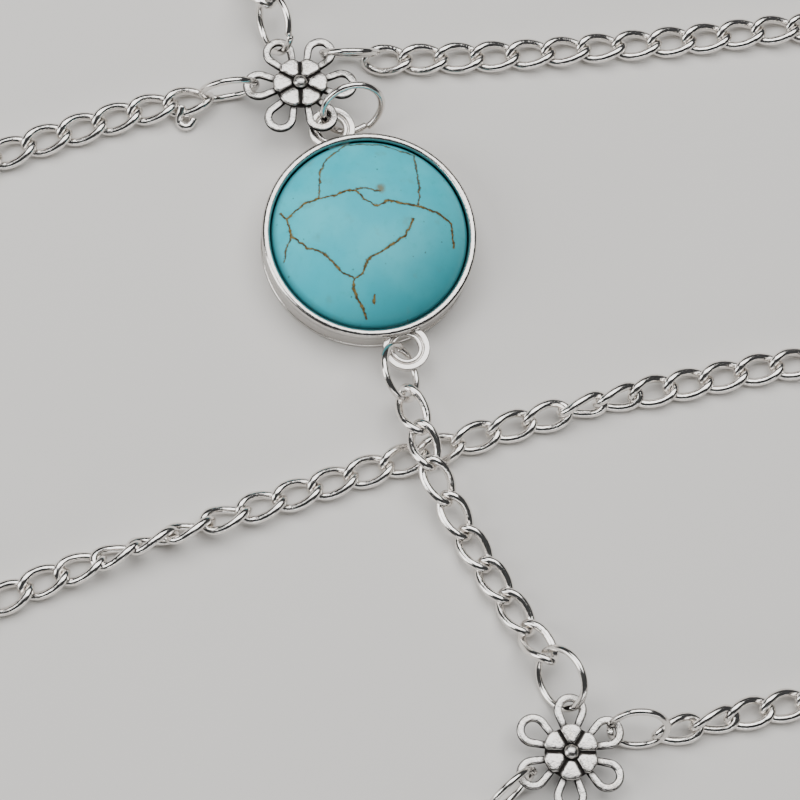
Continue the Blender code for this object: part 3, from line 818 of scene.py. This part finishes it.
# %% [markdown]
# ## The curb chain
#
# Curb chain is made of oval links that are twisted so that they lie flat and
# close together. Each link's wire runs round an oval whose two ends are turned
# opposite ways. One link is worked out once, as a mesh of its own, and then
# laid between every two joints of a chain. Since real links hang through each
# other, the pitch is shorter than the link by two wires.

# %% One link
# The wire's radius, then half the length and half the width of the wire's line
LINK_WIRE = 0.45
LINK_HALF = 2.365
LINK_WIDTH = 1.27
LINK_TWIST = math.radians(-45)
LINK_PITCH = 3.83
LINK_STEPS = 36
LINK_SIDES = 10
LINK_SQUARE = 0.9
# How far over the surface a link is laid, and the least height that it keeps
LINK_LIFT = 0.02
LINK_FLOOR = 0.01


def link_line():
    """The line of one link's wire, along x, in its own place."""
    t = np.arange(LINK_STEPS) * 2 * math.pi / LINK_STEPS
    x = LINK_HALF * np.sign(np.cos(t)) * abs(np.cos(t)) ** LINK_SQUARE
    twist, side = LINK_TWIST * np.cos(t), LINK_WIDTH * np.sin(t)
    return np.stack([x, side * np.cos(twist), side * np.sin(twist)], -1)


link_points, link_faces = wire_shell(link_line(), LINK_WIRE, LINK_SIDES, closed=True)


def cross_axes(along):
    """The level direction across a link, and the one that stands square on it."""
    level = unit(np.cross((0.0, 0.0, 1.0), along))
    return level, np.cross(along, level)


def link_axes(start, end, roll):
    along = unit(end - start)
    level, upright = cross_axes(along)
    side = level * math.cos(roll) + upright * math.sin(roll)
    over = upright * math.cos(roll) - level * math.sin(roll)
    return np.stack([along, side, over])


def chain_shells(joints, rolls):
    """Links between the joints, each rolled about its own length."""
    shells = []
    for start, end, roll in zip(joints, joints[1:], rolls):
        stretch = (np.linalg.norm(end - start) + 2 * LINK_WIRE) / (LINK_PITCH + 2 * LINK_WIRE)
        local = link_points * (stretch, 1.0, 1.0)
        shells.append(((start + end) / 2 + local @ link_axes(start, end, roll), link_faces))
    return shells


def resting_height(roll):
    """How high a rolled link's middle lies when its wire touches the surface."""
    line = link_line()
    heights = line[:, 1] * math.sin(roll) + line[:, 2] * math.cos(roll)
    return LINK_WIRE - heights.min() + LINK_LIFT


print("a flat link's middle lies", round(resting_height(0.0), 3), "mm up")

# %% [markdown]
# ## The drop chain and the riser
#
# Two short runs hang between rings: eight links from the cup's lower ear to
# the lower flower, and three that climb from the upper flower. Their joints
# lie near the straight line between the two rings, with small bends that put
# each link where it lay. The first and last links are rolled so that their end
# bars cross the rings' wire squarely.

# %% Short chains
HOOK_GAP = 0.4
HOOK_SLACK = 0.05
HOOK_REACH = RING_WIRE + HOOK_GAP + HOOK_SLACK
HANG_TWIST = LINK_TWIST * 2 / 3
# Each run: its upper ring and where it hooks in, as azimuth and elevation, the
# same for its lower ring, and how far each joint lies off the straight line
HANGS = {
    "drop_chain": ("ear_ring", (-90.0, -10.0), "drop_ring", (98.7, -8.6), [
        (-0.42, -0.25, 0.49), (-1.28, -0.32, 0.60), (-1.15, -0.22, -0.70), (-1.05, -0.12, -1.70),
        (-0.80, -0.02, -1.80), (-0.52, 0.06, -1.75), (-0.17, 0.05, -1.50)]),
    "riser_chain": ("riser_ring", (90.7, 0.2), "riser_end_ring", (-92.0, -15.0), [
        (0.33, 0.10, -0.85), (0.60, -0.05, -1.65)]),
}


def ring_side(name, azimuth, elevation):
    """The point of a ring's wire that lies furthest in a direction."""
    middle, axis, radius = rings[name]
    a, e = math.radians(azimuth), math.radians(elevation)
    towards = np.array([math.cos(a) * math.cos(e), math.sin(a) * math.cos(e), math.sin(e)])
    towards -= axis * towards.dot(axis)
    return middle + radius * towards / np.linalg.norm(towards)


def hang_roll(along, name, hook, end_twist):
    """The roll that lays a link's end bar square across a ring's wire."""
    middle, axis, _ = rings[name]
    level, upright = cross_axes(unit(along))
    wire = np.cross(axis, hook - middle)
    across = math.atan2(wire.dot(upright), wire.dot(level)) + math.pi / 2 - end_twist
    return (across + math.pi / 2) % math.pi - math.pi / 2


for name, (upper, upper_towards, lower, lower_towards, bends) in HANGS.items():
    start, end = ring_side(upper, *upper_towards), ring_side(lower, *lower_towards)
    inward = unit(end - start) * HOOK_REACH
    first, last = start - inward, end + inward
    joints = [
        first + (last - first) * k / (len(bends) + 1) + np.array(bend)
        for k, bend in enumerate(bends, 1)
    ]
    for joint in joints:
        joint[2] = max(joint[2], resting_height(0.0))
    top_hook = start + unit(start - joints[0]) * HOOK_REACH
    low_hook = end + unit(end - joints[-1]) * HOOK_REACH
    joints = [top_hook, *joints, low_hook]
    rolls = [0.0] * (len(joints) - 1)
    rolls[0] = hang_roll(joints[1] - joints[0], upper, start, -HANG_TWIST)
    rolls[-1] = hang_roll(joints[-1] - joints[-2], lower, end, HANG_TWIST)
    make_piece(name + "_links", chain_shells(joints, rolls), chain_metal, [name])

# %% [markdown]
# ## The strands
#
# Three long strands leave the front on both sides and run round to the back
# clasp. Each is laid out as a smooth line through a few points, and the links
# follow it at the chain's own pitch. A chain that has been put down never lies
# perfectly flat, so the links roll a little from one to the next, and at a few
# places a link stands on its edge.

# %% Routes of the strands, in millimetres
ROUTES = {
    "top_left_strand": [
        (-17.1, 20.3), (-22.4, 20.2), (-27.9, 20.0), (-33.3, 19.6), (-46, 17.5), (-60, 11.5),
        (-74, 1), (-86, -13), (-95, -31), (-100, -50), (-101.5, -70), (-99, -91), (-92, -112),
        (-80, -132), (-65, -150), (-48, -166), (-28, -176.8)],
    "top_right_strand": [
        (15.7, 16.7), (21.9, 15.3), (30.3, 13.7), (41.0, 11.7), (51.8, 9.9), (65, 5.5), (78, -3),
        (89, -15.5), (97, -31.5), (101.5, -50), (102.5, -70), (100, -91), (93, -112), (81, -132),
        (65.5, -150), (48, -166), (27.5, -176.8)],
    "middle_left_strand": [
        (-1.70, -23.0), (-11.5, -23.1), (-23.8, -23.6), (-34.8, -24.0), (-46.3, -25.0), (-60, -28.8),
        (-71.5, -37.5), (-79, -52), (-82, -70), (-80, -89), (-74, -108), (-64.5, -126), (-52, -142),
        (-36, -156.5), (-20.5, -169.8)],
    "middle_right_strand": [
        (-1.70, -23.0), (8.8, -22.9), (19.6, -23.3), (28.1, -23.9), (38.8, -25.0), (53, -28.5),
        (66, -35.5), (75.5, -47), (80.5, -62), (81, -80), (77, -98), (69, -116.5), (57.5, -134),
        (42.5, -151), (20.5, -169.8)],
    "lower_left_strand": [
        (-16, -62.2), (-26, -65.2), (-37, -70), (-46.5, -77.5), (-53, -88), (-55.5, -100.5),
        (-53.5, -114), (-46.5, -128), (-35.5, -142), (-22.5, -155.5), (-13.0, -167)],
    "lower_right_strand": [
        (21.3, -57.8), (28, -58.5), (38, -61), (47.5, -66.5), (54.5, -75), (58.5, -86.5), (59, -99.5),
        (55.5, -113.5), (48, -128), (37, -142), (23.5, -155.5), (13.0, -167)],
}
FRONT_RINGS = {
    "top_left_strand": "top_left_ring", "top_right_strand": "top_right_ring",
    "lower_left_strand": "lower_left_ring", "lower_right_strand": "lower_right_ring",
}
# How far inside a ring's wire a strand starts, and how low on it, in degrees
HOOK_INSIDE = 0.42
HOOK_ELEVATION = -20
# How much the links roll, in degrees, and how each shares its roll with the next
ROLL_SPREAD = 9
ROLL_SHARES = (0.25, 0.5, 0.25)
# The bent rest of a cut link, which hangs in the first link of the top left strand
CUT_LINK = [
    (-13.88, 19.44, 1.5), (-14.26, 18.87, 1.2), (-14.53, 18.27, 0.6), (-14.28, 17.67, 0.5),
    (-13.69, 17.50, 0.5), (-12.99, 18.04, 0.65),
]
# Where links stand up: how far along the strand, to what roll in degrees and over what length
TURNED = {
    "middle_left_strand": [(27.9, 78, 7.0)],
    "middle_right_strand": [(8.0, 32, 5.0), (18.4, 76, 5.0)],
    "lower_right_strand": [(4.5, 66, 3.6)],
}


# %% Laying the links along a strand
def smooth_line(points, per_span=40):
    """A smooth line through the points, with many more of them."""
    route = [np.array((*p, 0.0)) if len(p) == 2 else np.array(p) for p in points]
    padded = [route[0] * 2 - route[1], *route, route[-1] * 2 - route[-2]]
    fine = []
    for a, b, c, d in zip(padded, padded[1:], padded[2:], padded[3:]):
        for k in range(per_span):
            t = k / per_span
            fine.append(0.5 * (2 * b + (c - a) * t + (2 * a - 5 * b + 4 * c - d) * t**2
                               + (3 * b - a - 3 * c + d) * t**3))
    fine.append(route[-1])
    return np.array(fine)


def lay_joints(line):
    """Joints one pitch apart along the line, with the left-over shared out."""
    steps = np.linalg.norm(np.diff(line, axis=0), axis=1)
    along = np.concatenate([[0.0], np.cumsum(steps)])
    count = max(1, math.ceil(along[-1] / LINK_PITCH))
    wanted = np.linspace(0.0, along[-1], count + 1)
    return np.stack([np.interp(wanted, along, line[:, k]) for k in range(3)], -1), wanted


def hooked(ring, route_point):
    """The place, just inside the ring's wire, where a strand that leads to the point starts."""
    middle = rings[ring][0]
    azimuth = math.degrees(math.atan2(route_point[1] - middle[1], route_point[0] - middle[0]))
    wire = ring_side(ring, azimuth, HOOK_ELEVATION)
    return tuple((wire + unit(middle - wire) * HOOK_INSIDE)[:2])


def lay_strand(name, seed):
    """The joints of a strand, and the roll of the link after each."""
    side = "left" if "left" in name else "right"
    points = list(ROUTES[name])
    points.append(hooked(side + "_end_ring", points[-1]))
    if name in FRONT_RINGS:
        points.insert(0, hooked(FRONT_RINGS[name], points[0]))
    joints, wanted = lay_joints(smooth_line(points))
    rng = np.random.default_rng(seed)
    middles = (wanted[1:] + wanted[:-1]) / 2
    rolls = np.convolve(rng.normal(0, ROLL_SPREAD, len(middles) + 2), ROLL_SHARES, "valid")
    for place, roll, width in TURNED.get(name, []):
        rolls += (roll - rolls) * np.exp(-(((middles - place) / width) ** 2))
    rolls = np.radians(rolls)
    heights = np.array([resting_height(roll) for roll in rolls])
    joints[:, 2] = np.concatenate([[heights[0]], (heights[1:] + heights[:-1]) / 2, [heights[-1]]])
    return joints, rolls


def lifted(points):
    """The points of a link, raised if the lowest would be in the surface."""
    return points + (0, 0, max(0.0, LINK_FLOOR - points[:, 2].min()))


FIRST_SEED = 11
for seed, name in enumerate(ROUTES, FIRST_SEED):
    joints, rolls = lay_strand(name, seed)
    piece_name = name.replace("strand", "links")
    shells = [(lifted(points), faces) for points, faces in chain_shells(joints, rolls)]
    if name == "top_left_strand":
        shells.append(wire_shell(smooth_line(CUT_LINK, 6), LINK_WIRE, LINK_SIDES))
    make_piece(piece_name, shells, chain_metal, [name])
    print(name, len(rolls), "links")

# %% [markdown]
# ## The clasps
#
# The photograph ends before any clasp, so both are plain ones of the usual
# kind: an eye for the ring, a waist, and a jaw. A flat outline with a bevel is
# enough, because a curve object fills it and rounds its edges in one step.

# %% Clasps
CLASP_EYE = 1.35
CLASP_BAND = 0.8
CLASP_THICK = 0.9
CLASP_HOLE = 1.9
CLASP_LENGTH = 12.0
CLASP_ROUND = 0.26
CLASP_WAIST = 0.88
JAW_END = CLASP_HOLE * 0.45


def arc(middle, radius, start, end, count):
    angles = np.radians(np.linspace(start, end, count))
    return [(middle + radius * math.cos(a), radius * math.sin(a)) for a in angles]


def clasp_outlines():
    """The outside of the clasp along x from its eye, the eye's hole and the jaw's opening."""
    eye = CLASP_EYE + CLASP_BAND
    jaw = CLASP_HOLE + CLASP_BAND
    jaw_at = CLASP_LENGTH - eye - jaw
    outside = [
        *arc(0, eye, 35, 325, 31), (jaw_at * 0.5, -CLASP_WAIST),
        *arc(jaw_at, jaw, -120, 120, 31), (jaw_at * 0.5, CLASP_WAIST),
    ]
    hole = arc(0, CLASP_EYE, 0, 345, 24)
    jaw_back = eye + CLASP_BAND + JAW_END
    opening = [*arc(jaw_at, CLASP_HOLE, -110, 110, 25), *arc(jaw_back, JAW_END, 110, 250, 9)]
    return [outside, hole, opening]


def clasp_shell():
    """The clasp as a closed shell, made from its filled and bevelled outlines."""
    curve = bpy.data.curves.new("clasp", "CURVE")
    curve.dimensions = "2D"
    curve.fill_mode = "BOTH"
    curve.extrude = CLASP_THICK / 2 - CLASP_ROUND
    curve.bevel_depth = CLASP_ROUND
    curve.bevel_resolution = 4
    curve.offset = -CLASP_ROUND
    for outline in clasp_outlines():
        spline = curve.splines.new("POLY")
        spline.points.add(len(outline) - 1)
        for target, (x, y) in zip(spline.points, outline):
            target.co = (x, y, 0, 1)
        spline.use_cyclic_u = True
    helper = add_object("clasp_outline", curve)
    bpy.context.view_layer.update()
    graph = bpy.context.evaluated_depsgraph_get()
    mesh = bpy.data.meshes.new_from_object(helper.evaluated_get(graph))
    bpy.data.objects.remove(helper)
    shape = bmesh.new()
    shape.from_mesh(mesh)
    bmesh.ops.remove_doubles(shape, verts=shape.verts, dist=0.001)
    points = np.array([v.co for v in shape.verts])
    faces = [tuple(v.index for v in f.verts) for f in shape.faces]
    shape.free()
    return points, faces


# The height of the eyes' middles, their places, and where the riser's points
CLASP_REST = 1.45
BACK_CLASP_AT = (-3.9, -184.0)
RISER_CLASP_AT = (-3.02, 42.41)
RISER_TURN = math.radians(88)
CLASP_TIP = CLASP_LENGTH - CLASP_EYE - CLASP_BAND
clasp_lean = math.asin((CLASP_REST - 0.02 - CLASP_THICK / 2) / CLASP_TIP)
back_pose = Matrix.Translation(Vector((*BACK_CLASP_AT, CLASP_REST)) * MM)
riser_pose = Matrix.Translation(Vector((*RISER_CLASP_AT, CLASP_REST)) * MM)
riser_pose = riser_pose @ Matrix.Rotation(RISER_TURN, 4, "Z") @ Matrix.Rotation(clasp_lean, 4, "Y")
shell = clasp_shell()
for name, pose in (("back_clasp", back_pose), ("riser_clasp", riser_pose)):
    make_piece(name + "_cast", [shell], clasp_metal, [name], pose, crease=40)

# %% [markdown]
# ## Floor and light
#
# The object lies on a plain pale surface. Polished wire shows what is round
# it, so the lamps matter more than its own colour: broad soft lamps give the
# long bright lines, and the dim room between them gives the dark ones.

# %% Floor
FLOOR_SIZE = 3.0
FLOOR_TONES = ((0.74, 0.72, 0.69), (0.78, 0.76, 0.73))
floor_mesh = bpy.data.meshes.new("floor")
corners = [(-1, -1, 0), (1, -1, 0), (1, 1, 0), (-1, 1, 0)]
floor_points = [tuple(c * FLOOR_SIZE / 2 for c in corner) for corner in corners]
floor_mesh.from_pydata(floor_points, [], [(0, 1, 2, 3)])
floor = add_object("floor", floor_mesh)
floor_finish, floor_surface, floor_place = new_finish("pale_floor", Roughness=0.65)
floor_tone = floor_place.noise(0.02, 2.0).mixed(*FLOOR_TONES)
feed(floor_surface, Base_Color=floor_tone)
floor_mesh.materials.append(floor_finish)

# %% Lamps
ROOM_COLOR = (0.93, 0.96, 1.0)
ROOM_STRENGTH = 0.06
world = bpy.data.worlds.new("room")
world.use_nodes = True
room = world.node_tree.nodes["Background"]
room.inputs["Color"].default_value = (*ROOM_COLOR, 1)
room.inputs["Strength"].default_value = ROOM_STRENGTH
bpy.context.scene.world = world

# Each lamp: right, up and back from the target along the picture's axes in
# metres, its width and height, and its watts
LAMPS = {
    "key": ((0.10, 0.46, 0.60), (1.00, 0.62), 8.0),
    "left": ((-0.62, 0.00, 0.42), (0.35, 0.70), 3.6),
    "low": ((0.15, -0.62, 0.36), (0.80, 0.16), 1.0),
}
for name, (offset, size, watts) in LAMPS.items():
    data = bpy.data.lights.new(name, "AREA")
    data.shape = "RECTANGLE"
    data.size, data.size_y = size
    data.energy = watts
    lamp = add_object(name, data)
    away = picture_right * offset[0] + picture_up * offset[1] + picture_back * offset[2]
    lamp.location = CAMERA_TARGET + away
    lamp.rotation_euler = away.to_track_quat("Z", "Y").to_euler()
print("lamps:", list(LAMPS))
